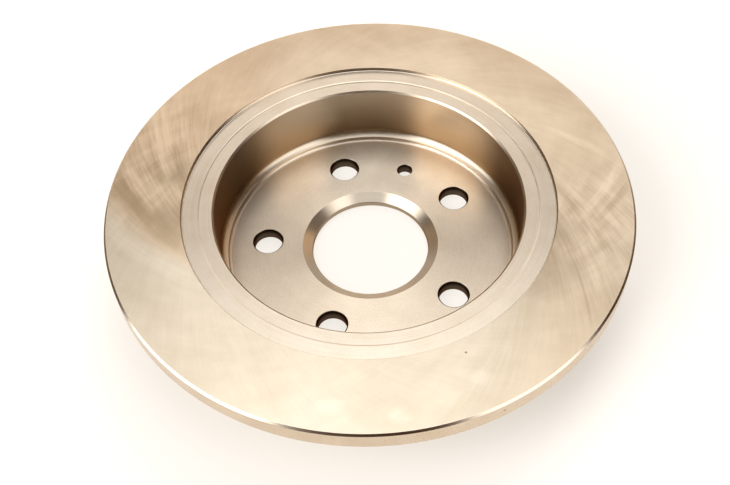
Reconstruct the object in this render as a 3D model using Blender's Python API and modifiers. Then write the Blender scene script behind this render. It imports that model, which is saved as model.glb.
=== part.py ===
"""Unvented rear brake disc of a passenger car: one grey-iron casting, turned and drilled.

The casting is modelled in the zones that its turned lines divide it into, from the hub outwards:
mounting flange, hat wall, neck ring and friction ring. Each zone is its own cross-section turned
about Z, and the flange is then drilled. Neighbouring zones stop a hair short of each other.

Metres, +Z up. The disc lies on the wheel side of its hat with the hub side up. The origin is the
centre of the wheel seat, and the locating hole is on +Y.
"""
import math

import bpy

# Sizes that fit the disc to the car
DISC_DIAMETER = 0.292
DISC_HEIGHT = 0.048
RING_THICKNESS = 0.012
PILOT_BORE_DIAMETER = 0.0675
BOLT_CIRCLE_DIAMETER = 0.120
BOLT_COUNT = 5
BOLT_HOLE_DIAMETER = 0.0166
LOCATING_HOLE_DIAMETER = 0.0092

# Mounting flange, the floor of the hat
FLANGE_THICKNESS = 0.007
PILOT_CHAMFER_WIDTH = 0.0057
PILOT_CHAMFER_DEPTH = 0.0035
PILOT_BACK_CHAMFER = 0.0006
BOLT_HOLE_CHAMFER = 0.0008
LOCATING_HOLE_CHAMFER = 0.0002
HOLE_BACK_CHAMFER = 0.0002

# Hat wall, from the ledge round the floor up to the land round the opening
HAT_INNER_DIAMETER = 0.1724
HAT_WALL_THICKNESS = 0.0063
HAT_WALL_DRAFT = math.radians(1.5)
LEDGE_RISE = 0.0024
LEDGE_SLOPE = math.radians(20)
FLOOR_FILLET = 0.0019
WALL_FILLET = 0.0055
LIP_CHAMFER = 0.0010
LAND_DROP = 0.0005
HAT_CORNER_RADIUS = 0.004
HAT_ROOT_FILLET = 0.00175
WHEEL_SEAT_RELIEF = 0.0008

# Neck and friction ring
NECK_WIDTH = 0.00825
NECK_RECESS = 0.0021
NECK_GROOVE_DEPTH = 0.0020
RING_FILLET = 0.0010
RIM_CHAMFER = 0.0011
EDGE_BREAK = 0.0003

# Clearance between neighbouring zones, and how far a cutter stands out of the flange
ZONE_GAP = 0.0003
CUTTER_OVERRUN = 0.001

# Facets round the disc, round a drilled hole and in a fillet, and how they meet
DISC_FACETS = 100
HOLE_FACETS = 32
FILLET_FACETS = 4
SEAM_MERGE = 0.00001
SHARP_EDGE_ANGLE = math.radians(30)

# Heights that several zones share
TOP = DISC_HEIGHT
RING_BOTTOM = DISC_HEIGHT - RING_THICKNESS
NECK_TOP = TOP - NECK_RECESS
NECK_BOTTOM = RING_BOTTOM + NECK_GROOVE_DEPTH
LAND_TOP = NECK_TOP - LAND_DROP
LEDGE_TOP = FLANGE_THICKNESS + LEDGE_RISE

# Radii that several zones share, from the wall of the hat inwards and outwards
HAT_INNER_RADIUS = HAT_INNER_DIAMETER / 2
LEDGE_RADIUS = HAT_INNER_RADIUS - WALL_FILLET * (1 - math.sin(LEDGE_SLOPE))
FLOOR_RADIUS = LEDGE_RADIUS - FLOOR_FILLET
HAT_OUTER_RADIUS = HAT_INNER_RADIUS + HAT_WALL_THICKNESS
LAND_RADIUS = HAT_OUTER_RADIUS + HAT_ROOT_FILLET
NECK_INNER_RADIUS = LAND_RADIUS + ZONE_GAP
NECK_OUTER_RADIUS = NECK_INNER_RADIUS + NECK_WIDTH
RING_TOE_RADIUS = NECK_OUTER_RADIUS + ZONE_GAP
RING_INNER_RADIUS = RING_TOE_RADIUS + RING_FILLET


def arc(centre, radius, start, end):
    """Points of a round in the cross-section, from one angle to another in degrees."""
    points = []
    for step in range(FILLET_FACETS + 1):
        angle = math.radians(start + (end - start) * step / FILLET_FACETS)
        points.append((centre[0] + radius * math.cos(angle), centre[1] + radius * math.sin(angle)))
    return points


def turned(name, section, facets, closed=True):
    """A cross-section at +X, listed down its outer side, turned a full circle about Z."""
    mesh = bpy.data.meshes.new(name)
    edges = [(i, i + 1) for i in range(len(section) - 1)]
    if closed:
        edges.append((len(section) - 1, 0))
    mesh.from_pydata([(radius, 0.0, height) for radius, height in section], edges, [])
    piece = bpy.data.objects.new(name, mesh)
    screw = piece.modifiers.new("Turning", "SCREW")
    screw.axis = "Z"
    screw.angle = math.tau
    screw.steps = facets
    screw.render_steps = facets
    screw.use_merge_vertices = True
    screw.merge_threshold = SEAM_MERGE
    return piece


def cast_iron(name, colour, roughness):
    """Machined grey iron in the tint of one turned zone."""
    material = bpy.data.materials.new(name)
    material.use_nodes = True
    shader = material.node_tree.nodes["Principled BSDF"]
    shader.inputs["Base Color"].default_value = (*colour, 1.0)
    shader.inputs["Roughness"].default_value = roughness
    shader.inputs["Metallic"].default_value = 1.0
    return material


def friction_ring():
    """The pad track: flat faces, chamfered rim, and a toe on the inside where the neck begins."""
    rim = DISC_DIAMETER / 2
    inner = RING_INNER_RADIUS
    section = [
        (inner + EDGE_BREAK, TOP),
        (rim - RIM_CHAMFER, TOP),
        (rim, TOP - RIM_CHAMFER),
        (rim, RING_BOTTOM + RIM_CHAMFER),
        (rim - RIM_CHAMFER, RING_BOTTOM),
        (inner + EDGE_BREAK, RING_BOTTOM),
        (inner, RING_BOTTOM + EDGE_BREAK),
        *arc((RING_TOE_RADIUS, NECK_BOTTOM - RING_FILLET), RING_FILLET, 0, 90),
        *arc((RING_TOE_RADIUS, NECK_TOP + RING_FILLET), RING_FILLET, -90, 0),
        (inner, TOP - EDGE_BREAK),
    ]
    ring = turned("friction_ring", section, DISC_FACETS)
    ring.data.materials.append(cast_iron("ground_iron", (0.70, 0.57, 0.42), 0.42))
    return ring


def neck_ring():
    """The thinner web that carries the friction ring, recessed on both sides."""
    section = [
        (NECK_INNER_RADIUS, NECK_TOP),
        (NECK_OUTER_RADIUS, NECK_TOP),
        (NECK_OUTER_RADIUS, NECK_BOTTOM),
        (NECK_INNER_RADIUS, NECK_BOTTOM),
    ]
    neck = turned("neck_ring", section, DISC_FACETS)
    neck.data.materials.append(cast_iron("turned_iron", (0.72, 0.61, 0.48), 0.38))
    return neck


def hat_wall():
    """The land round the opening, the wall with its draft and rounded corner, and the inner ledge."""
    wall_bottom = WHEEL_SEAT_RELIEF + HAT_CORNER_RADIUS
    wall_top = NECK_BOTTOM - HAT_ROOT_FILLET
    corner_radius = HAT_OUTER_RADIUS - (wall_top - wall_bottom) * math.tan(HAT_WALL_DRAFT)
    fillet_height = LEDGE_TOP + WALL_FILLET * math.cos(LEDGE_SLOPE)
    fillet_start = math.degrees(LEDGE_SLOPE) - 90
    section = [
        (HAT_INNER_RADIUS + LIP_CHAMFER, LAND_TOP),
        (LAND_RADIUS, LAND_TOP),
        *arc((LAND_RADIUS, wall_top), HAT_ROOT_FILLET, 90, 180),
        *arc((corner_radius - HAT_CORNER_RADIUS, wall_bottom), HAT_CORNER_RADIUS, 0, -90),
        (FLOOR_RADIUS, WHEEL_SEAT_RELIEF),
        *arc((FLOOR_RADIUS, FLANGE_THICKNESS + FLOOR_FILLET), FLOOR_FILLET, -90, 0),
        *arc((HAT_INNER_RADIUS - WALL_FILLET, fillet_height), WALL_FILLET, fillet_start, 0),
        (HAT_INNER_RADIUS, LAND_TOP - LIP_CHAMFER),
    ]
    wall = turned("hat_wall", section, DISC_FACETS)
    wall.data.materials.append(cast_iron("hat_iron", (0.44, 0.33, 0.22), 0.34))
    return wall


def mounting_flange():
    """The floor of the hat: hub seat on top, wheel seat below, and a pilot bore with a wide lead-in."""
    bore = PILOT_BORE_DIAMETER / 2
    outer = FLOOR_RADIUS - ZONE_GAP
    section = [
        (bore + PILOT_CHAMFER_WIDTH, FLANGE_THICKNESS),
        (outer, FLANGE_THICKNESS),
        (outer, EDGE_BREAK),
        (outer - EDGE_BREAK, 0.0),
        (bore + PILOT_BACK_CHAMFER, 0.0),
        (bore, PILOT_BACK_CHAMFER),
        (bore, FLANGE_THICKNESS - PILOT_CHAMFER_DEPTH),
    ]
    flange = turned("mounting_flange", section, DISC_FACETS)
    flange.data.materials.append(cast_iron("seat_iron", (0.70, 0.57, 0.43), 0.38))
    return flange


def drill(name, radius, chamfer, angle):
    """A drilled hole on the bolt circle with its chamfers, as a solid that stands out of both faces."""
    top_flare = radius + chamfer + CUTTER_OVERRUN
    back_flare = radius + HOLE_BACK_CHAMFER + CUTTER_OVERRUN
    section = [
        (0.0, FLANGE_THICKNESS + CUTTER_OVERRUN),
        (top_flare, FLANGE_THICKNESS + CUTTER_OVERRUN),
        (radius, FLANGE_THICKNESS - chamfer),
        (radius, HOLE_BACK_CHAMFER),
        (back_flare, -CUTTER_OVERRUN),
        (0.0, -CUTTER_OVERRUN),
    ]
    cutter = turned(name, section, HOLE_FACETS, closed=False)
    circle = BOLT_CIRCLE_DIAMETER / 2
    cutter.location = (circle * math.cos(angle), circle * math.sin(angle), 0.0)
    cutter.hide_render = True
    cutter.display_type = "WIRE"
    return cutter


def drills():
    """The bolt holes, spaced evenly so that the locating hole on +Y lies midway between two of them."""
    pitch = math.tau / BOLT_COUNT
    locating_angle = math.pi / 2
    bolt_radius = BOLT_HOLE_DIAMETER / 2
    locating_radius = LOCATING_HOLE_DIAMETER / 2
    cutters = [drill("locating_hole", locating_radius, LOCATING_HOLE_CHAMFER, locating_angle)]
    for number in range(BOLT_COUNT):
        angle = locating_angle + (number + 0.5) * pitch
        cutters.append(drill(f"bolt_hole_{number + 1}", bolt_radius, BOLT_HOLE_CHAMFER, angle))
    return cutters


def new_collection(name, pieces):
    """A collection in the scene that holds the given pieces."""
    collection = bpy.data.collections.new(name)
    bpy.context.scene.collection.children.link(collection)
    for piece in pieces:
        collection.objects.link(piece)
    return collection


def shade_turned(piece):
    """The turned and drilled mesh in place of the cross-section, smooth but for its turned edges."""
    mesh = bpy.data.meshes.new_from_object(piece.evaluated_get(bpy.context.evaluated_depsgraph_get()))
    section = piece.data
    piece.modifiers.clear()
    piece.data = mesh
    mesh.shade_smooth()
    mesh.set_sharp_from_angle(angle=SHARP_EDGE_ANGLE)
    bpy.data.meshes.remove(section)
    mesh.name = piece.name


def build():
    """Clear the scene, turn the four zones, drill the flange and finish every piece."""
    for leftover in list(bpy.data.objects):
        bpy.data.objects.remove(leftover, do_unlink=True)
    flange = mounting_flange()
    pieces = [friction_ring(), neck_ring(), hat_wall(), flange]
    new_collection("brake_disc", pieces)
    cutters = new_collection("brake_disc_cutters", drills())
    drilling = flange.modifiers.new("Drilling", "BOOLEAN")
    drilling.operation = "DIFFERENCE"
    drilling.operand_type = "COLLECTION"
    drilling.collection = cutters
    bpy.context.view_layer.update()
    for piece in pieces:
        shade_turned(piece)


build()
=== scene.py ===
"""Unvented rear brake disc of a car, lying hub side up on a pale table.

The disc is one grey-iron casting. It is dressed zone by zone, from the hub outwards, each zone as the
lathe and the grinder leave it. Metres, in the frame of the solid model: +Z is the disc's axis, z = 0 the
table, and the locating hole is on +Y. Angles of places on the disc are counted from +X towards +Y.
"""
import math
from collections import namedtuple

import bmesh
import bpy
import numpy as np
from mathutils import Matrix, Vector


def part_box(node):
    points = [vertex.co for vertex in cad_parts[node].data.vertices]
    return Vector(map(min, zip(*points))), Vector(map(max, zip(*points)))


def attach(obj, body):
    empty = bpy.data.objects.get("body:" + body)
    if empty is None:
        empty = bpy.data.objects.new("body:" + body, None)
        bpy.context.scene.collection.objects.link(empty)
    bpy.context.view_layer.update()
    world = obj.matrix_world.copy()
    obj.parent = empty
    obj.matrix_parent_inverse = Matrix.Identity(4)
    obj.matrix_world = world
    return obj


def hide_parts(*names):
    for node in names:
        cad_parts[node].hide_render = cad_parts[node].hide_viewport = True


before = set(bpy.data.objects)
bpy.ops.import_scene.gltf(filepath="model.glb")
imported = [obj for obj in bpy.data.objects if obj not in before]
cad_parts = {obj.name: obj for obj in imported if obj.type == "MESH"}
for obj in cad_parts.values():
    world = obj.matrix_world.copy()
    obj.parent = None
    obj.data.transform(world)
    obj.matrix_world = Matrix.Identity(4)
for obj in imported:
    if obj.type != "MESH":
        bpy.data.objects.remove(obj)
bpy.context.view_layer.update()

# Mounting flange: the floor of the hat, a plate of grey iron faced on both sides and bored for the hub's
# pilot with a wide, glossy lead-in. The bolt holes and the locating hole are drilled and lightly
# chamfered. It is cast in one with the hat wall around it.
zone_gap = 0.0003
flange_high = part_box("mounting_flange")[1]
flange_top = flange_high[2]
floor_radius = flange_high[0] + zone_gap
pilot_radius = 0.03375
lead_in_width = 0.0057
lead_in_radius = pilot_radius + lead_in_width
lead_in_depth = 0.0035
pilot_back_chamfer = 0.0006
bolt_circle_radius = 0.060
bolt_count = 5
bolt_hole_radius = 0.0083
bolt_hole_chamfer = 0.0008
locating_angle = math.pi / 2
locating_hole_radius = 0.0046
locating_hole_chamfer = 0.0002
hole_back_chamfer = 0.0002
drilled_band = (0.045, 0.075)
edge_break = 0.0003
edge_round = 0.0002
seam_round = 0.00005
weld_distance = 0.000002
sharp_edge = math.radians(25)
faced_dark = (0.635, 0.49, 0.35)
faced_pale = (0.85, 0.70, 0.535)
faced_glance = (0.40, 0.25, 0.14, 1)
lead_in_dark = (0.80, 0.65, 0.485)
lead_in_pale = (0.92, 0.765, 0.59)
bore_brown = (0.46, 0.365, 0.27)
hole_mouth = (0.022, 0.014, 0.008)
hole_depth = (0.12, 0.09, 0.065)


def round_corners(corners, radii, closed=True, steps=6, lead=0.00005):
    """Outline with an arc in each corner that touches both sides of it. The arc's ends lie
    radius / tan(half angle) from the corner and its centre lies radius / sin(half angle) along the
    bisector. A short straight lead beside each arc keeps the flats flat where they are shaded."""
    corner = np.asarray(corners, float)
    radius = np.asarray(radii, float)[:, None]
    before = np.roll(corner, 1, axis=0) - corner
    after = np.roll(corner, -1, axis=0) - corner
    before /= np.linalg.norm(before, axis=1, keepdims=True)
    after /= np.linalg.norm(after, axis=1, keepdims=True)
    half = np.arccos(np.clip((before * after).sum(axis=1, keepdims=True), -1, 1)) / 2
    reach = radius / np.tan(half)
    bisector = (before + after) / (2 * np.cos(half))
    centre = corner + bisector * radius / np.sin(half)
    start = corner + before * reach - centre
    end = corner + after * reach - centre
    first = np.arctan2(start[:, 1], start[:, 0])
    sweep = (np.arctan2(end[:, 1], end[:, 0]) - first + np.pi) % (2 * np.pi) - np.pi
    angle = first[:, None] + sweep[:, None] * np.linspace(0, 1, steps)
    arcs = centre[:, None] + radius[:, None] * np.stack([np.cos(angle), np.sin(angle)], axis=-1)
    lead_in = corner + before * (reach + lead)
    lead_out = corner + after * (reach + lead)
    outline = np.concatenate([lead_in[:, None], arcs, lead_out[:, None]], axis=1)
    if closed:
        return outline.reshape(-1, 2)
    return np.concatenate([corner[:1], outline[1:-1].reshape(-1, 2), corner[-1:]])


def turned(section, angles):
    """Surface of revolution: each point (radius, height) of the section at each angle round Z."""
    radius = section[:, 0, None]
    height = section[:, 1, None]
    return np.stack([radius * np.cos(angles), radius * np.sin(angles), height + 0 * angles], axis=-1)


def grid_quads(rows, columns, wrap_rows, wrap_columns):
    """Corner numbers of a grid's quads, row by row; a wrapped direction joins its end to its start."""
    row = np.arange(rows if wrap_rows else rows - 1)[:, None]
    column = np.arange(columns if wrap_columns else columns - 1)[None, :]
    next_row = (row + 1) % rows
    next_column = (column + 1) % columns
    corners = [
        row * columns + column,
        row * columns + next_column,
        next_row * columns + next_column,
        next_row * columns + column,
    ]
    return np.stack(corners, axis=-1).reshape(-1, 4)


def casting_zone(name, grids, material, node):
    """One closed mesh from grids of points, given as (points, wrap rows, wrap columns). Borders that meet
    are welded, faces are turned outwards, and sharp edges stay sharp. The zone takes the place of its
    solid."""
    points = []
    quads = []
    count = 0
    for grid, wrap_rows, wrap_columns in grids:
        quads.append(grid_quads(*grid.shape[:2], wrap_rows, wrap_columns) + count)
        points.append(grid.reshape(-1, 3))
        count += len(points[-1])
    mesh = bpy.data.meshes.new(name)
    mesh.from_pydata(np.concatenate(points).tolist(), [], np.concatenate(quads).tolist())
    shell = bmesh.new()
    shell.from_mesh(mesh)
    bmesh.ops.remove_doubles(shell, verts=shell.verts, dist=weld_distance)
    bmesh.ops.recalc_face_normals(shell, faces=shell.faces)
    shell.to_mesh(mesh)
    shell.free()
    mesh.shade_smooth()
    mesh.set_sharp_from_angle(angle=sharp_edge)
    mesh.materials.append(material)
    piece = bpy.data.objects.new(name, mesh)
    bpy.context.scene.collection.objects.link(piece)
    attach(piece, "root")
    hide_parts(node)


def drilled_cell(centre_angle, half_width, section, steps_round, steps_across, face_rows=5):
    """A drilled cell of the plate, right through it. Its border runs round a patch of the ring between
    the band's two radii; on each ray from the hole's centre the rows go from the border over the top
    face to the hole, down the hole's section and back out over the lower face."""
    inner, outer = drilled_band
    along = np.linspace(centre_angle - half_width, centre_angle + half_width, steps_round + 1)
    across = np.linspace(inner, outer, steps_across + 1)
    border_angle = np.concatenate(
        [along[:-1], np.full(steps_across, along[-1]), along[:0:-1], np.full(steps_across, along[0])]
    )
    border_radius = np.concatenate(
        [np.full(steps_round, inner), across[:-1], np.full(steps_round, outer), across[:0:-1]]
    )
    border = border_radius[:, None] * np.stack([np.cos(border_angle), np.sin(border_angle)], axis=-1)
    centre = bolt_circle_radius * np.array([math.cos(centre_angle), math.sin(centre_angle)])
    ray = border - centre
    ray /= np.linalg.norm(ray, axis=1, keepdims=True)
    hole = centre + section[:, 0, None, None] * ray
    share = np.linspace(1, 0, face_rows + 1)[:-1, None, None]
    top = share * border + (1 - share) * hole[0]
    bottom = (share * border + (1 - share) * hole[-1])[::-1]
    flat = np.concatenate([top, hole, bottom])
    height = np.concatenate([np.full(len(top), flange_top), section[:, 1], np.zeros(len(bottom))])
    height = np.broadcast_to(height[:, None, None], flat.shape[:2] + (1,))
    return np.concatenate([flat, height], axis=-1)


def hole_section(radius, chamfer, margin=0.0006, edge=0.0001):
    """Radius and height down a drilled hole: top face, chamfer, wall, lower chamfer, lower face."""
    corners = [
        (radius + chamfer + margin, flange_top),
        (radius + chamfer, flange_top),
        (radius, flange_top - chamfer),
        (radius, hole_back_chamfer),
        (radius + hole_back_chamfer, 0.0),
        (radius + hole_back_chamfer + margin, 0.0),
    ]
    return round_corners(corners, [edge] * len(corners), closed=False)


def bored_ring(angles):
    """Inner ring of the plate: top face, lead-in, pilot bore, lower chamfer and lower face."""
    corners = [
        (drilled_band[0], flange_top),
        (lead_in_radius, flange_top),
        (pilot_radius, flange_top - lead_in_depth),
        (pilot_radius, pilot_back_chamfer),
        (pilot_radius + pilot_back_chamfer, 0.0),
        (drilled_band[0], 0.0),
    ]
    lead_in_foot = 0.0004
    back_edge = 0.00015
    radii = [edge_round, edge_round, lead_in_foot, back_edge, back_edge, edge_round]
    return turned(round_corners(corners, radii, closed=False), angles)


def outer_ring(angles):
    """Outer ring of the plate: lower face, broken edge, side against the hat wall and top face."""
    corners = [
        (drilled_band[1], 0.0),
        (floor_radius - edge_break, 0.0),
        (floor_radius, edge_break),
        (floor_radius, flange_top),
        (drilled_band[1], flange_top),
    ]
    return turned(round_corners(corners, [seam_round] * len(corners), closed=False), angles)


def mounting_flange_grids():
    """The plate as a bored inner ring, an outer ring, and between them a band of drilled and plain cells
    whose borders are shared."""
    bolt_half = math.radians(14)
    bolt_steps = 24
    locating_half = math.radians(8)
    locating_steps = 16
    wide_gap_steps = 36
    narrow_gap_steps = 12
    steps_across = 12
    pitch = math.tau / bolt_count
    bolt_angles = [locating_angle + (number + 0.5) * pitch for number in range(bolt_count)]
    bolt_section = hole_section(bolt_hole_radius, bolt_hole_chamfer)
    locating_section = hole_section(locating_hole_radius, locating_hole_chamfer)
    cells = [(locating_angle, locating_half, locating_section, locating_steps)]
    cells += [(angle, bolt_half, bolt_section, bolt_steps) for angle in bolt_angles]
    gaps = [(angle + bolt_half, angle + pitch - bolt_half, wide_gap_steps) for angle in bolt_angles[:-1]]
    bolt_before = locating_angle - pitch / 2
    bolt_after = locating_angle + pitch / 2
    gaps.append((locating_angle + locating_half, bolt_after - bolt_half, narrow_gap_steps))
    gaps.append((bolt_before + bolt_half, locating_angle - locating_half, narrow_gap_steps))
    grids = []
    spans = list(gaps)
    for angle, half, section, steps in cells:
        grids.append((drilled_cell(angle, half, section, steps, steps_across), False, True))
        spans.append((angle - half, angle + half, steps))
    across = np.linspace(*drilled_band, steps_across + 1)
    for start, end, steps in gaps:
        along = np.linspace(start, end, steps + 1)
        for height in (flange_top, 0.0):
            face = np.stack([across, np.full_like(across, height)], axis=-1)
            grids.append((turned(face, along), False, False))
    around = [np.linspace(start, end, steps, endpoint=False) for start, end, steps in spans]
    around = np.sort(np.concatenate(around) % math.tau)
    grids.append((bored_ring(around), False, True))
    grids.append((outer_ring(around), False, True))
    return grids


def wire(tree, kind, inputs, **properties):
    """A shader node with its properties set and each input either linked to a socket or given a value."""
    made = tree.nodes.new(kind)
    for name, value in properties.items():
        setattr(made, name, value)
    for key, value in inputs.items():
        if isinstance(value, bpy.types.NodeSocket):
            tree.links.new(value, made.inputs[key])
        else:
            made.inputs[key].default_value = value
    return made


def calc(tree, operation, *values):
    """Result of a math node."""
    return wire(tree, "ShaderNodeMath", dict(enumerate(values)), operation=operation).outputs["Value"]


def vector(tree, operation, *values):
    """Vector that a vector math node gives."""
    made = wire(tree, "ShaderNodeVectorMath", dict(enumerate(values)), operation=operation)
    return made.outputs["Vector"]


def measure(tree, operation, *values):
    """Number that a vector math node gives, such as a length or a dot product."""
    made = wire(tree, "ShaderNodeVectorMath", dict(enumerate(values)), operation=operation)
    return made.outputs["Value"]


def rest_of(tree, share):
    """What a share leaves of one."""
    return calc(tree, "SUBTRACT", 1.0, share)


def average(tree, *weighted):
    """Weighted sum of (weight, value) pairs."""
    total = calc(tree, "MULTIPLY", weighted[0][1], weighted[0][0])
    for weight, value in weighted[1:]:
        total = calc(tree, "MULTIPLY_ADD", value, weight, total)
    return total


def rise(tree, value, low, high):
    """Smooth step from 0, where the value is low, to 1, where it is high."""
    span = {"Value": value, "From Min": low, "From Max": high}
    return wire(tree, "ShaderNodeMapRange", span, interpolation_type="SMOOTHSTEP").outputs["Result"]


def past(tree, value, border, soft):
    """Smooth step up across a border with a soft edge to either side of it, or down if soft is negative."""
    return rise(tree, value, border - soft, border + soft)


def noise(tree, place, scale, detail=2.0):
    """Noise from 0 to 1 about one half, with features about 1 / scale long."""
    inputs = {"Vector": place, "Scale": scale, "Detail": detail, "Roughness": 0.6}
    return wire(tree, "ShaderNodeTexNoise", inputs).outputs["Fac"]


def drawn_out(tree, direction, across, distance, along, detail):
    """Noise at the place (direction times across, distance times along), long where those change slowly."""
    spread = vector(tree, "MULTIPLY", direction, (across, across, 0))
    lift = wire(tree, "ShaderNodeCombineXYZ", {"Z": calc(tree, "MULTIPLY", distance, along)})
    return noise(tree, vector(tree, "ADD", spread, lift.outputs["Vector"]), 1.0, detail)


def turning_marks(tree, radius, height, outward, per_metre):
    """Noise drawn out along the circle: fine along the radius and the height, slow round the axis."""
    return drawn_out(tree, outward, 1.5, calc(tree, "SUBTRACT", radius, height), per_metre, 3.0)


def blend(tree, factor, first, second):
    """Mix of two colours, each a socket or three numbers, by a factor from 0 to 1."""
    mix = wire(tree, "ShaderNodeMix", {0: factor}, data_type="RGBA", clamp_factor=True)
    for socket, colour in ((mix.inputs[6], first), (mix.inputs[7], second)):
        if isinstance(colour, bpy.types.NodeSocket):
            tree.links.new(colour, socket)
        else:
            socket.default_value = (*colour, 1)
    return mix.outputs[2]


def scratch(tree, shader, marks, strength, depth):
    """Fine relief of a surface from its marks, as a bump of a strength and a depth."""
    bump = wire(tree, "ShaderNodeBump", {"Height": marks, "Strength": strength, "Distance": depth})
    tree.links.new(bump.outputs["Normal"], shader.inputs["Normal"])


def iron_material(name, lay=0.25):
    """Bare iron: a metal whose highlight is drawn out across its marks. The lay is the turn from the
    direction round the axis to that of the highlight, a quarter where the marks run round the axis. Also
    gives the place on the disc, its distance from the axis, its height and its direction from the axis."""
    material = bpy.data.materials.new(name)
    material.use_nodes = True
    tree = material.node_tree
    shader = tree.nodes["Principled BSDF"]
    shader.inputs["Metallic"].default_value = 1.0
    shader.inputs["Anisotropic Rotation"].default_value = lay
    place = wire(tree, "ShaderNodeTexCoord", {}).outputs["Object"]
    flat = vector(tree, "MULTIPLY", place, (1, 1, 0))
    radius = measure(tree, "LENGTH", flat)
    height = wire(tree, "ShaderNodeSeparateXYZ", {0: place}).outputs["Z"]
    outward = vector(tree, "NORMALIZE", flat)
    tree.links.new(vector(tree, "CROSS_PRODUCT", (0, 0, 1), outward), shader.inputs["Tangent"])
    return material, tree, shader, place, radius, height, outward


def seat_iron():
    """Faced iron: a fine even grain with faint rings and clouds. The lead-in of the bore is bright and
    smooth, the bore's wall is browner, and the drilled walls are rough and dark, most so at the top."""
    material, tree, shader, place, radius, height, outward = iron_material("faced_finish")
    shader.inputs["Specular Tint"].default_value = faced_glance
    marks = turning_marks(tree, radius, height, outward, 2600)
    grain = noise(tree, place, 1700)
    cloud = noise(tree, place, 45, 3.0)
    tone = rise(tree, average(tree, (0.55, grain), (0.15, marks), (0.30, cloud)), 0.30, 0.70)
    colour = blend(tree, tone, faced_dark, faced_pale)
    lead_in = past(tree, radius, lead_in_radius, -0.0002)
    colour = blend(tree, lead_in, colour, blend(tree, marks, lead_in_dark, lead_in_pale))
    bore = rise(tree, radius, pilot_radius + 0.0004, pilot_radius + 0.0001)
    colour = blend(tree, bore, colour, bore_brown)
    below_top = rise(tree, height, flange_top - 0.00005, flange_top - 0.00025)
    above_back = rise(tree, height, 0.0001, 0.0003)
    beyond_bore = past(tree, radius, drilled_band[0] - 0.002, 0.001)
    drilled = calc(tree, "MULTIPLY", calc(tree, "MULTIPLY", below_top, above_back), beyond_bore)
    depth = rise(tree, height, flange_top - 0.0010, flange_top - 0.0040)
    colour = blend(tree, drilled, colour, blend(tree, depth, hole_mouth, hole_depth))
    tree.links.new(colour, shader.inputs["Base Color"])
    face = rest_of(tree, lead_in)
    grainy = calc(tree, "MULTIPLY", tone, face)
    roughness = average(tree, (0.06, grainy), (-0.03, lead_in), (0.10, drilled), (0.32, 1.0))
    tree.links.new(roughness, shader.inputs["Roughness"])
    tree.links.new(average(tree, (0.11, lead_in), (0.75, 1.0)), shader.inputs["Anisotropic"])
    scratch(tree, shader, calc(tree, "MULTIPLY", grain, face), 0.15, 0.00004)
    return material


casting_zone("flange_faced", mounting_flange_grids(), seat_iron(), "mounting_flange")

# Hat wall: the deep cup that stands the ring off from the hub. It is turned inside, with a fillet and a
# narrow ledge round the floor and a chamfered lip under a flat land. Outside it has a draft, a rounded
# corner towards the wheel and a fillet where it joins the neck.
hat_low, hat_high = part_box("hat_wall")
hat_radius = 0.0862
land_top = hat_high[2]
land_radius = hat_high[0]
neck_inner = land_radius + zone_gap / 2
neck_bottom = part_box("neck_ring")[0][2]
ledge_rise = 0.0024
ledge_top = flange_top + ledge_rise
ledge_slope = math.radians(20)
ledge_width = 0.0055 * (1 - math.sin(ledge_slope))
ledge_radius = hat_radius - ledge_width
floor_fillet = 0.0018
wall_fillet = 0.0051
lip_chamfer = 0.0010
root_fillet = 0.00175
corner_round = 0.004
wall_draft = math.radians(1.5)
# Painted shade: the low wall colours darken the hat wall towards its floor.
painted_shade_wall_dark = (0.36, 0.255, 0.155)
painted_shade_wall_pale = (0.435, 0.315, 0.20)
wall_high_dark = (0.535, 0.43, 0.31)
wall_high_pale = (0.635, 0.52, 0.39)
wall_glance = (0.22, 0.09, 0.02, 1)
# Painted highlight: a bright colour on the fillet at the floor of the hat.
fillet_painted_highlight = (0.80, 0.66, 0.50)
turned_dark = (0.68, 0.535, 0.385)
turned_pale = (0.825, 0.69, 0.54)


def turned_zone(section, steps=720):
    """Grid of a closed outline turned right round the axis, so that it wraps both ways."""
    around = np.linspace(0, math.tau, steps, endpoint=False)
    return [(turned(section, around), True, True)]


def hat_wall_section():
    """Outline of the wall: land, side against the neck, root fillet, outer wall, corner and relief, then
    side against the flange, floor fillet, ledge, inner wall and lip."""
    outer_radius = land_radius - root_fillet
    relief = hat_low[2]
    outer_low = outer_radius - (neck_bottom - root_fillet - relief - corner_round) * math.tan(wall_draft)
    ledge_foot = ledge_top + (hat_radius - ledge_radius) * math.tan(ledge_slope)
    rounded_corners = [
        ((hat_radius + lip_chamfer, land_top), edge_round),
        ((neck_inner, land_top), seam_round),
        ((neck_inner, neck_bottom), seam_round),
        ((outer_radius, neck_bottom), root_fillet),
        ((outer_low, relief), corner_round),
        ((floor_radius, relief), seam_round),
        ((floor_radius, flange_top), seam_round),
        ((ledge_radius, flange_top), floor_fillet),
        ((ledge_radius, ledge_top), edge_round),
        ((hat_radius, ledge_foot), wall_fillet),
        ((hat_radius, land_top - lip_chamfer), edge_round),
    ]
    return round_corners(*zip(*rounded_corners), steps=10)


def turned_tint(tree, place, radius, height, outward):
    """Colour of iron turned with a fine feed: pale and greyish, with close faint rings and a fine grain."""
    marks = turning_marks(tree, radius, height, outward, 3000)
    grain = noise(tree, place, 1500)
    cloud = noise(tree, place, 60, 3.0)
    tone = rise(tree, average(tree, (0.35, marks), (0.35, grain), (0.30, cloud)), 0.3, 0.7)
    return blend(tree, tone, turned_dark, turned_pale)


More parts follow.
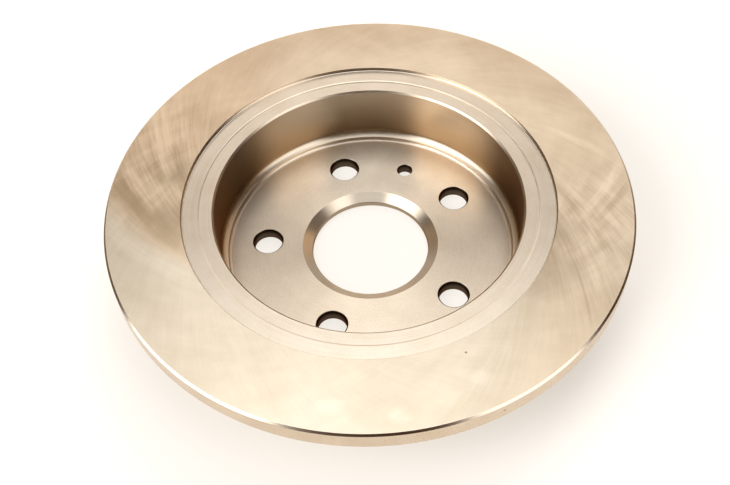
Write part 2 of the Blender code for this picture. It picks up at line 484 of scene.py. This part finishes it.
def hat_iron():
    """Turned iron in the shelter of the hat: brown and smooth, with long soft turning marks, darkest low on
    the wall, which is painted shade. The fillets at the floor are painted bright as a painted highlight,
    and the land and the outside are as the neck."""
    material, tree, shader, place, radius, height, outward = iron_material("hat_finish")
    shader.inputs["Specular Tint"].default_value = wall_glance
    marks = turning_marks(tree, radius, height, outward, 900)
    # Painted shade: the wall is given darker colours low down, towards the floor of the hat.
    low = blend(tree, marks, painted_shade_wall_dark, painted_shade_wall_pale)
    high = blend(tree, marks, wall_high_dark, wall_high_pale)
    wall = blend(tree, rise(tree, height, flange_top + 0.006, land_top - 0.002), low, high)
    # Painted highlight: the fillet at the floor is given a bright colour.
    painted_highlight_fillet = rise(tree, height, ledge_top + 0.0030, ledge_top + 0.0012)
    wall = blend(tree, painted_highlight_fillet, wall, fillet_painted_highlight)
    pale = turned_tint(tree, place, radius, height, outward)
    lip = land_top - lip_chamfer
    land = rise(tree, height, lip - 0.0003, lip + 0.0001)
    outside = rise(tree, radius, hat_radius + 0.0020, hat_radius + 0.0025)
    turned_part = calc(tree, "MAXIMUM", land, outside)
    tree.links.new(blend(tree, turned_part, wall, pale), shader.inputs["Base Color"])
    roughness = average(tree, (0.06, marks), (0.07, turned_part), (0.07, painted_highlight_fillet), (0.23, 1.0))
    tree.links.new(roughness, shader.inputs["Roughness"])
    tree.links.new(average(tree, (-0.46, turned_part), (0.9, 1.0)), shader.inputs["Anisotropic"])
    scratch(tree, shader, marks, 0.10, 0.00005)
    return material


casting_zone("hat_turned", turned_zone(hat_wall_section()), hat_iron(), "hat_wall")

# Neck ring: the thinner web between the hat and the friction ring. It is turned with a fine feed on both
# sides, a little below the friction faces, and is cast in one with both neighbours.
neck_low, neck_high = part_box("neck_ring")
neck_outer = neck_high[0] + zone_gap
neck_bevel_width = 0.0007
neck_bevel_foot = land_top + 0.0003
neck_bevel_round = 0.0001
neck_rooted = land_top - 0.0002
crisp = 0.00001
short_lead = 0.00003


def neck_section():
    """A plain rectangle whose upper inner edge stands over the land of the hat and is bevelled."""
    rounded_corners = [
        ((neck_inner, neck_rooted), crisp),
        ((neck_inner, neck_bevel_foot), crisp),
        ((neck_inner + neck_bevel_width, neck_high[2]), neck_bevel_round),
        ((neck_outer, neck_high[2]), seam_round),
        ((neck_outer, neck_low[2]), seam_round),
        ((neck_inner, neck_low[2]), seam_round),
    ]
    return round_corners(*zip(*rounded_corners), lead=short_lead)


def turned_iron():
    """Iron turned with a fine feed."""
    material, tree, shader, place, radius, height, outward = iron_material("turned_finish")
    shader.inputs["Roughness"].default_value = 0.30
    shader.inputs["Anisotropic"].default_value = 0.42
    tree.links.new(turned_tint(tree, place, radius, height, outward), shader.inputs["Base Color"])
    return material


casting_zone("neck_turned", turned_zone(neck_section()), turned_iron(), "neck_ring")

# Friction ring: the flat ring that the pads grip. Both faces are ground, which leaves two families of
# crossing arcs; the rim is turned and its edges are chamfered, and a step with a small fillet drops from
# each face to the neck.
ring_low, ring_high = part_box("friction_ring")
rim_radius = ring_high[0]
rim_chamfer = 0.0011
rim_edge = 0.00015
step_width = 0.0010
ring_inner = neck_outer + step_width
toe_fillet = 0.00092
face_middle = 0.125
grinder_radius = 0.202
grinder_offset = 0.125
grinder_lay = 0.345
face_dark = (0.555, 0.40, 0.255)
face_pale = (0.89, 0.705, 0.505)
# Painted sheen: creamier colours for the near part of the face.
near_painted_sheen_dark = (0.58, 0.445, 0.30)
near_painted_sheen_pale = (0.875, 0.735, 0.56)
# Painted shade: a warmer tint for the left side of the face.
left_painted_shade_tint = (1.03, 0.99, 0.94)
smudge_brown = (0.36, 0.25, 0.155)
pore_black = (0.04, 0.03, 0.02)
step_tan = (0.70, 0.58, 0.45)
chamfer_bright = (0.82, 0.67, 0.51)
rim_spot_brown = (0.26, 0.17, 0.10)
GrindingArcs = namedtuple("GrindingArcs", "side direction lines strokes bands")


def friction_ring_section():
    """Outline of the ring: step and face above, chamfered rim, face and step below, toes at the neck."""
    rounded_corners = [
        ((neck_outer, neck_high[2]), crisp),
        ((ring_inner, neck_high[2]), toe_fillet),
        ((ring_inner, ring_high[2]), rim_edge),
        ((rim_radius - rim_chamfer, ring_high[2]), rim_edge),
        ((rim_radius, ring_high[2] - rim_chamfer), rim_edge),
        ((rim_radius, ring_low[2] + rim_chamfer), rim_edge),
        ((rim_radius - rim_chamfer, ring_low[2]), rim_edge),
        ((ring_inner, ring_low[2]), rim_edge),
        ((ring_inner, neck_low[2]), toe_fillet),
        ((neck_outer, neck_low[2]), crisp),
    ]
    return round_corners(*zip(*rounded_corners), lead=short_lead)


def arc_turn(distance):
    """Angle at the disc's axis between a grinding arc's centre and its point at a distance from the axis:
    its cosine is (distance^2 + offset^2 - grinder^2) / (2 distance offset)."""
    square = distance**2 + grinder_offset**2 - grinder_radius**2
    return math.acos(square / (2 * distance * grinder_offset))


def grinding_arcs(tree, radius, outward, side, band_count):
    """One family of grinding arcs. Its direction is the one from the axis, turned by the angle of arc_turn,
    backwards for the arcs that lean the other way, so that it is the same all along an arc. Noise over it
    gives fine lines, strokes and broad bands along the arcs."""
    square = calc(tree, "MULTIPLY_ADD", radius, radius, grinder_offset**2 - grinder_radius**2)
    cosine = calc(tree, "DIVIDE", square, calc(tree, "MULTIPLY", radius, 2 * grinder_offset))
    angle = calc(tree, "MULTIPLY", calc(tree, "ARCCOSINE", cosine), side)
    inputs = {"Vector": outward, "Angle": angle}
    direction = wire(tree, "ShaderNodeVectorRotate", inputs, rotation_type="Z_AXIS").outputs["Vector"]
    lines = drawn_out(tree, direction, 190, radius, 140, 2.0)
    strokes = drawn_out(tree, direction, 48, radius, 70, 2.0)
    bands = drawn_out(tree, direction, band_count, radius, 40, 2.0)
    return GrindingArcs(side, direction, lines, strokes, bands)


def beside(tree, direction, angle):
    """Cosine of the angle between a direction and the one at an angle in radians."""
    return measure(tree, "DOT_PRODUCT", direction, (math.cos(angle), math.sin(angle), 0))


def streak(tree, radius, arcs, marks, angle, distance, width, length):
    """One band along a grinding arc through the place at an angle and a distance from the axis, drawn in
    the arcs' marks. It fades over half its width, in degrees, and half its length."""
    middle = math.radians(angle) + arcs.side * arc_turn(distance)
    across = rise(tree, beside(tree, arcs.direction, middle), math.cos(math.radians(width / 2)), 1.0)
    off_middle = calc(tree, "ABSOLUTE", calc(tree, "SUBTRACT", radius, distance))
    band = calc(tree, "MULTIPLY", across, rise(tree, off_middle, length / 2, length / 8))
    return calc(tree, "MULTIPLY", band, calc(tree, "MULTIPLY", marks, 2.0))


def past_arc(tree, arcs, angle, soft, wobble):
    """Smooth step across the grinding arc through the middle of the face at an angle, over a soft edge in
    degrees that wobbles with a noise. It is a step in the sine of the angle to the arc, which is the
    cosine of the angle to a quarter turn further."""
    middle = math.radians(angle) + arcs.side * arc_turn(face_middle)
    sine = beside(tree, arcs.direction, middle + math.pi / 2)
    sine = calc(tree, "MULTIPLY_ADD", calc(tree, "SUBTRACT", wobble, 0.5), 0.12, sine)
    return past(tree, sine, 0.0, math.sin(math.radians(soft)))


def patch(tree, place, angle, distance, size, level=ring_high[2]):
    """Soft round patch at an angle in degrees, a distance from the axis and a level, which is the upper
    face unless it is given. It is 1 in its middle and 0 from its size outwards."""
    turn = math.radians(angle)
    middle = (distance * math.cos(turn), distance * math.sin(turn), level)
    return rise(tree, measure(tree, "DISTANCE", place, middle), size, 0.0)


def wander(tree, place, scale, reach):
    """Place shifted by noise, up to about its reach, so that a patch gets an uneven edge."""
    shift = wire(tree, "ShaderNodeTexNoise", {"Vector": place, "Scale": scale, "Detail": 3.0})
    shift = vector(tree, "SUBTRACT", shift.outputs["Color"], (0.5, 0.5, 0.5))
    return vector(tree, "MULTIPLY_ADD", shift, (2 * reach, 2 * reach, 0), place)


def with_streaks(tree, tone, radius, falling, rising):
    """Tone of the face with its single streaks along the grinding arcs, whose sheen is painted into the
    tone: pale ones added and dark ones taken away.
    """
    left_pale = streak(tree, radius, falling, falling.strokes, 195.4, 0.131, 6, 0.034)
    left_dark = streak(tree, radius, falling, falling.strokes, 200.4, 0.132, 6, 0.036)
    left_shade = streak(tree, radius, falling, falling.strokes, 205.0, 0.124, 12, 0.060)
    right_pale = streak(tree, radius, rising, rising.lines, 22.4, 0.131, 5, 0.034)
    right_dark = streak(tree, radius, rising, rising.lines, 18.0, 0.135, 4, 0.024)
    far_right_pale = streak(tree, radius, falling, falling.strokes, 38.0, 0.128, 5, 0.034)
    near_left_pale = streak(tree, radius, falling, falling.strokes, 214.0, 0.126, 18, 0.070)
    far_left_pale = streak(tree, radius, falling, falling.strokes, 180.0, 0.126, 30, 0.070)
    near_right_shade = streak(tree, radius, falling, falling.strokes, 322.0, 0.126, 24, 0.070)
    near_right_line = streak(tree, radius, falling, falling.strokes, 350.5, 0.128, 1.5, 0.036)
    return average(
        tree,
        (1.0, tone),
        (0.10, left_pale),
        (-0.12, left_dark),
        (-0.07, left_shade),
        (0.13, right_pale),
        (-0.16, right_dark),
        (0.08, far_right_pale),
        (0.10, near_left_pale),
        (0.06, far_left_pale),
        (-0.10, near_right_shade),
        (-0.14, near_right_line),
    )


def ground_tone(tree, place, uneven, radius, outward, falling, rising, near_painted_sheen, cloud):
    """Tone of the ground face, from 0 where it is dark to 1 where it is pale: bands, strokes and lines of
    both families, whose sheen is painted into the tone, strongest in a patch of painted sheen on either
    side, with grain, clouds, single streaks and three pale spots in the near part. The far part is painted
    darker outwards as painted shade."""
    # Painted sheen: the bands stand out most in a patch on the left and one on the right.
    left_painted_sheen_patch = patch(tree, uneven, 188, face_middle, 0.075)
    right_painted_sheen_patch = patch(tree, uneven, 8, face_middle, 0.070)
    painted_sheen_patches = calc(tree, "MAXIMUM", left_painted_sheen_patch, right_painted_sheen_patch)
    change = calc(tree, "SUBTRACT", rising.strokes, falling.strokes)
    strokes = calc(tree, "MULTIPLY_ADD", change, near_painted_sheen, falling.strokes)
    bands = average(
        tree,
        (0.60, falling.bands),
        (0.45, rising.bands),
        (0.40, strokes),
        (0.22, falling.lines),
        (0.15, rising.lines),
        (-0.91, 1.0),
    )
    bands = calc(tree, "MULTIPLY", bands, calc(tree, "MULTIPLY_ADD", painted_sheen_patches, 0.78, 0.22))
    grain = noise(tree, place, 1500)
    tone = average(tree, (1.0, bands), (0.14, grain), (0.36, cloud), (0.25, 1.0))
    tone = with_streaks(tree, tone, radius, falling, rising)
    for angle, distance in ((282.5, 0.1305), (297.0, 0.1345), (316.0, 0.1285)):
        pale_spot = patch(tree, uneven, angle, distance, 0.007)
        tone = calc(tree, "MULTIPLY_ADD", pale_spot, 0.14, tone)
    # Painted shade: the far part of the face darkens outwards.
    outer = rise(tree, radius, 0.106, 0.146)
    far_painted_shade_side = rise(tree, beside(tree, outward, math.radians(103)), 0.2, 0.9)
    far_painted_shade = calc(tree, "MULTIPLY", far_painted_shade_side, calc(tree, "SUBTRACT", 0.35, outer))
    return rise(tree, calc(tree, "MULTIPLY_ADD", far_painted_shade, 0.15, tone), 0.20, 0.80)


def with_handling_marks(tree, face, place, uneven, rising):
    """Colour of the face with one small pore and, beside the neck, brown smudges as uneven as the bands."""
    smudges = 0.0
    for angle, distance, size in (
        (346, 0.106, 0.016),
        (352, 0.108, 0.021),
        (6, 0.107, 0.016),
        (190, 0.109, 0.013),
        (207, 0.108, 0.018),
    ):
        smudges = calc(tree, "MAXIMUM", smudges, patch(tree, uneven, angle, distance, size))
    smudges = calc(tree, "MULTIPLY", smudges, calc(tree, "MULTIPLY_ADD", rising.bands, 0.7, 0.1))
    face = blend(tree, smudges, face, smudge_brown)
    pore = patch(tree, place, angle=316.3, distance=0.112, size=0.0009)
    return blend(tree, pore, face, pore_black)


def ground_iron():
    """Ground iron: a brown face, painted creamier in its near part as painted sheen and painted warmer on
    the left as painted shade. The rim and the step to the neck are turned, the chamfers are glossy, and the
    rim has one small brown spot."""
    material, tree, shader, place, radius, height, outward = iron_material("ground_finish", grinder_lay)
    shader.inputs["Anisotropic"].default_value = 0.45
    falling = grinding_arcs(tree, radius, outward, -1, 9)
    rising = grinding_arcs(tree, radius, outward, 1, 8)
    cloud = noise(tree, place, 26, 3.0)
    uneven = wander(tree, place, 60, 0.008)
    # Painted sheen: the near part of the face, between two grinding arcs, is given creamier colours.
    near_painted_sheen = past_arc(tree, falling, 211, 7, cloud)
    near_painted_sheen = calc(tree, "MULTIPLY", near_painted_sheen, rest_of(tree, past_arc(tree, falling, 330, 12, cloud)))
    tone = ground_tone(tree, place, uneven, radius, outward, falling, rising, near_painted_sheen, cloud)
    brown = blend(tree, tone, face_dark, face_pale)
    # Painted shade: the left side of the face is tinted warmer.
    left_painted_shade = rise(tree, beside(tree, outward, math.radians(196)), 0.4, 0.95)
    brown = blend(tree, left_painted_shade, brown, vector(tree, "MULTIPLY", brown, left_painted_shade_tint))
    # Painted sheen: the near part takes the creamier colours.
    face = blend(tree, near_painted_sheen, brown, blend(tree, tone, near_painted_sheen_dark, near_painted_sheen_pale))
    face = with_handling_marks(tree, face, place, uneven, rising)
    rim = rise(tree, radius, rim_radius - rim_chamfer - 0.0002, rim_radius - rim_chamfer)
    half_height = (ring_high[2] - ring_low[2]) / 2
    off_middle = calc(tree, "SUBTRACT", height, (ring_low[2] + ring_high[2]) / 2)
    off_middle = calc(tree, "ABSOLUTE", off_middle)
    chamfer = calc(tree, "MULTIPLY", rim, past(tree, off_middle, half_height - rim_chamfer, 0.0001))
    step = rise(tree, radius, ring_inner + 0.0002, ring_inner)
    turned_part = calc(tree, "MAXIMUM", rim, step)
    colour = blend(tree, rim, face, turned_tint(tree, place, radius, height, outward))
    colour = blend(tree, step, colour, step_tan)
    colour = blend(tree, chamfer, colour, chamfer_bright)
    rim_spot = patch(tree, place, angle=317.4, distance=rim_radius, size=0.0011, level=0.0425)
    colour = blend(tree, rim_spot, colour, rim_spot_brown)
    tree.links.new(colour, shader.inputs["Base Color"])
    smoother = average(tree, (-0.03, turned_part), (-0.05, step), (-0.06, chamfer))
    roughness = average(tree, (0.06, tone), (1.0, smoother), (0.28, 1.0))
    tree.links.new(roughness, shader.inputs["Roughness"])
    lines = average(tree, (0.6, falling.lines), (0.4, rising.lines))
    scratch(tree, shader, calc(tree, "MULTIPLY", lines, rest_of(tree, turned_part)), 0.06, 0.00003)
    return material


ring_grids = turned_zone(friction_ring_section())
casting_zone("ring_ground", ring_grids, ground_iron(), "friction_ring")

# Table: a plain white sheet that the disc lies on. It keeps the disc's soft shadow and shows as white, also
# in the metal, which sees it darken from a hand's width outside the disc.
table_size = 6.0
table_drop = 0.0001
sheet_white = (0.80, 0.745, 0.68, 1)
sheet_glow = (1.0, 0.95, 0.875, 1)
sheet_shade = (0.11, 0.075, 0.05, 1)


def table_white():
    """Matt white that is partly its own light to the eye and to reflections, most so under the hat, and
    plain matt to the lamps. To reflections it turns to a dark matt brown further out."""
    material = bpy.data.materials.new("table_white")
    material.use_nodes = True
    tree = material.node_tree
    shader = tree.nodes["Principled BSDF"]
    shader.inputs["Base Color"].default_value = sheet_white
    shader.inputs["Roughness"].default_value = 0.9
    shader.inputs["Specular IOR Level"].default_value = 0.1
    path = wire(tree, "ShaderNodeLightPath", {}).outputs
    seen = calc(tree, "MAXIMUM", path["Is Camera Ray"], path["Is Glossy Ray"])
    seen = calc(tree, "MAXIMUM", seen, path["Is Transmission Ray"])
    away = measure(tree, "LENGTH", wire(tree, "ShaderNodeTexCoord", {}).outputs["Object"])
    under_hat = rise(tree, away, 0.085, 0.070)
    share = calc(tree, "MULTIPLY", seen, calc(tree, "MULTIPLY_ADD", under_hat, 0.3, 0.5))
    strength = calc(tree, "MULTIPLY_ADD", path["Is Camera Ray"], 0.15, 0.85)
    glow = wire(tree, "ShaderNodeEmission", {"Color": sheet_glow, "Strength": strength})
    lit = wire(tree, "ShaderNodeMixShader", {0: share, 1: shader.outputs[0], 2: glow.outputs[0]})
    mirrored = calc(tree, "MULTIPLY", rise(tree, away, 0.23, 0.33), path["Is Glossy Ray"])
    shade = wire(tree, "ShaderNodeBsdfDiffuse", {"Color": sheet_shade})
    sheet = wire(tree, "ShaderNodeMixShader", {0: mirrored, 1: lit.outputs[0], 2: shade.outputs[0]})
    tree.links.new(sheet.outputs[0], tree.nodes["Material Output"].inputs["Surface"])
    return material


bpy.ops.mesh.primitive_plane_add(size=table_size, location=(0, 0, -table_drop))
table = bpy.context.object
table.name = "table"
table.data.materials.append(table_white())

# Camera: above the near edge of the table, turned about the disc so that the locating hole lies right of
# the far bolt hole, and held slightly out of level.
camera_azimuth = math.radians(22.866)
camera_elevation = math.radians(49.885)
camera_distance = 0.58523
aim_yaw = math.radians(0.468)
aim_pitch = math.radians(2.415)
camera_roll = math.radians(-3.186)
camera_lens = 52.10
camera_sensor = 36.0


def round_about(azimuth, elevation):
    """Unit vector from the disc towards an azimuth, counted from -Y towards +X, and an elevation."""
    level = math.cos(elevation)
    return Vector((level * math.sin(azimuth), -level * math.cos(azimuth), math.sin(elevation)))


camera_data = bpy.data.cameras.new("camera")
camera_data.sensor_fit = "HORIZONTAL"
camera_data.sensor_width = camera_sensor
camera_data.lens = camera_lens
camera = bpy.data.objects.new("camera", camera_data)
bpy.context.scene.collection.objects.link(camera)
camera_turn = (
    Matrix.Rotation(camera_azimuth + aim_yaw, 4, "Z")
    @ Matrix.Rotation(math.pi / 2 - camera_elevation - aim_pitch, 4, "X")
    @ Matrix.Rotation(camera_roll, 4, "Z")
)
face_centre = Vector((0, 0, ring_high[2]))
camera_place = face_centre + camera_distance * round_about(camera_azimuth, camera_elevation)
camera.matrix_world = Matrix.Translation(camera_place) @ camera_turn
bpy.context.scene.camera = camera

# Light: a soft studio in a dim brown room. A ceiling hangs overhead and reaches lower behind the disc, cool
# panels stand left and right of the camera, a small plain one behind the disc, and a dim warm glow on each
# side. Two wide suns light the table alone, and the room is white where the eye looks past the table.
room_brown = (0.05, 0.022, 0.006)
room_white = (1.0, 1.0, 1.0)
ceiling_edge_height = 71.0
ceiling_dip_behind = 18.0
ceiling_soft = 4.0
sun_width = math.radians(40)
studio = bpy.data.worlds.new("studio")
bpy.context.scene.world = studio
studio.use_nodes = True
sky = studio.node_tree


def panel(turn, height, middle, half, low, high, soft):
    """Soft-edged panel of the studio, 1 inside and 0 outside: a product of smooth steps in the azimuth
    about its middle and in the elevation between its low and high edges, in degrees."""
    off_middle = calc(sky, "ABSOLUTE", calc(sky, "SUBTRACT", turn, middle))
    across = past(sky, off_middle, half, -soft)
    above = past(sky, height, low, soft)
    below = past(sky, height, high, -soft)
    return calc(sky, "MULTIPLY", across, calc(sky, "MULTIPLY", above, below))


towards = wire(sky, "ShaderNodeTexCoord", {}).outputs["Generated"]
from_camera = {"Vector": towards, "Angle": -camera_azimuth}
towards = wire(sky, "ShaderNodeVectorRotate", from_camera, rotation_type="Z_AXIS").outputs["Vector"]
towards = wire(sky, "ShaderNodeSeparateXYZ", {0: towards}).outputs
sky_turn = calc(sky, "ARCTAN2", towards["X"], calc(sky, "MULTIPLY", towards["Y"], -1.0))
sky_turn = calc(sky, "MULTIPLY", sky_turn, math.degrees(1))
sky_height = calc(sky, "MULTIPLY", calc(sky, "ARCSINE", towards["Z"]), math.degrees(1))
from_behind = calc(sky, "SUBTRACT", 180.0, calc(sky, "ABSOLUTE", sky_turn))
behind = rise(sky, from_behind, 55, 30)
ceiling_edge = calc(sky, "MULTIPLY_ADD", behind, -ceiling_dip_behind, ceiling_edge_height)
ceiling = past(sky, calc(sky, "SUBTRACT", sky_height, ceiling_edge), 0.0, ceiling_soft)
left_panel = panel(sky_turn, sky_height, middle=-66, half=28, low=-5, high=66, soft=5)
right_panel = panel(sky_turn, sky_height, middle=54, half=22, low=-5, high=64, soft=5)
far_panel = panel(from_behind, sky_height, middle=0, half=31, low=23, high=43, soft=6)
right_glow = panel(sky_turn, sky_height, middle=130, half=16, low=18, high=38, soft=5)
left_glow = panel(sky_turn, sky_height, middle=-130, half=16, low=18, high=38, soft=5)
light = room_brown
for lit, colour in (
    (left_panel, (2.80, 2.95, 3.10)),
    (right_panel, (1.70, 1.78, 1.86)),
    (far_panel, (1.60, 1.60, 1.60)),
    (right_glow, (0.75, 0.56, 0.38)),
    (left_glow, (0.26, 0.20, 0.13)),
    (ceiling, (1.86, 2.03, 2.19)),
):
    light = vector(sky, "MULTIPLY_ADD", lit, colour, light)
seen_past = wire(sky, "ShaderNodeLightPath", {}).outputs["Is Camera Ray"]
sky.links.new(blend(sky, seen_past, light, room_white), sky.nodes["Background"].inputs["Color"])


def table_light(name, turn, height, energy):
    """Wide soft sun for the matt table alone, at an azimuth counted from the camera to its right and an
    elevation, in degrees."""
    data = bpy.data.lights.new(name, "SUN")
    data.energy = energy
    data.angle = sun_width
    lamp = bpy.data.objects.new(name, data)
    bpy.context.scene.collection.objects.link(lamp)
    away = round_about(camera_azimuth + math.radians(turn), math.radians(height))
    lamp.rotation_euler = away.to_track_quat("Z", "Y").to_euler()
    lamp.visible_glossy = False


table_light("table_light_left", turn=-58, height=33, energy=2.4)
table_light("table_light_right", turn=162, height=40, energy=1.8)

bpy.context.scene.view_settings.view_transform = "Standard"
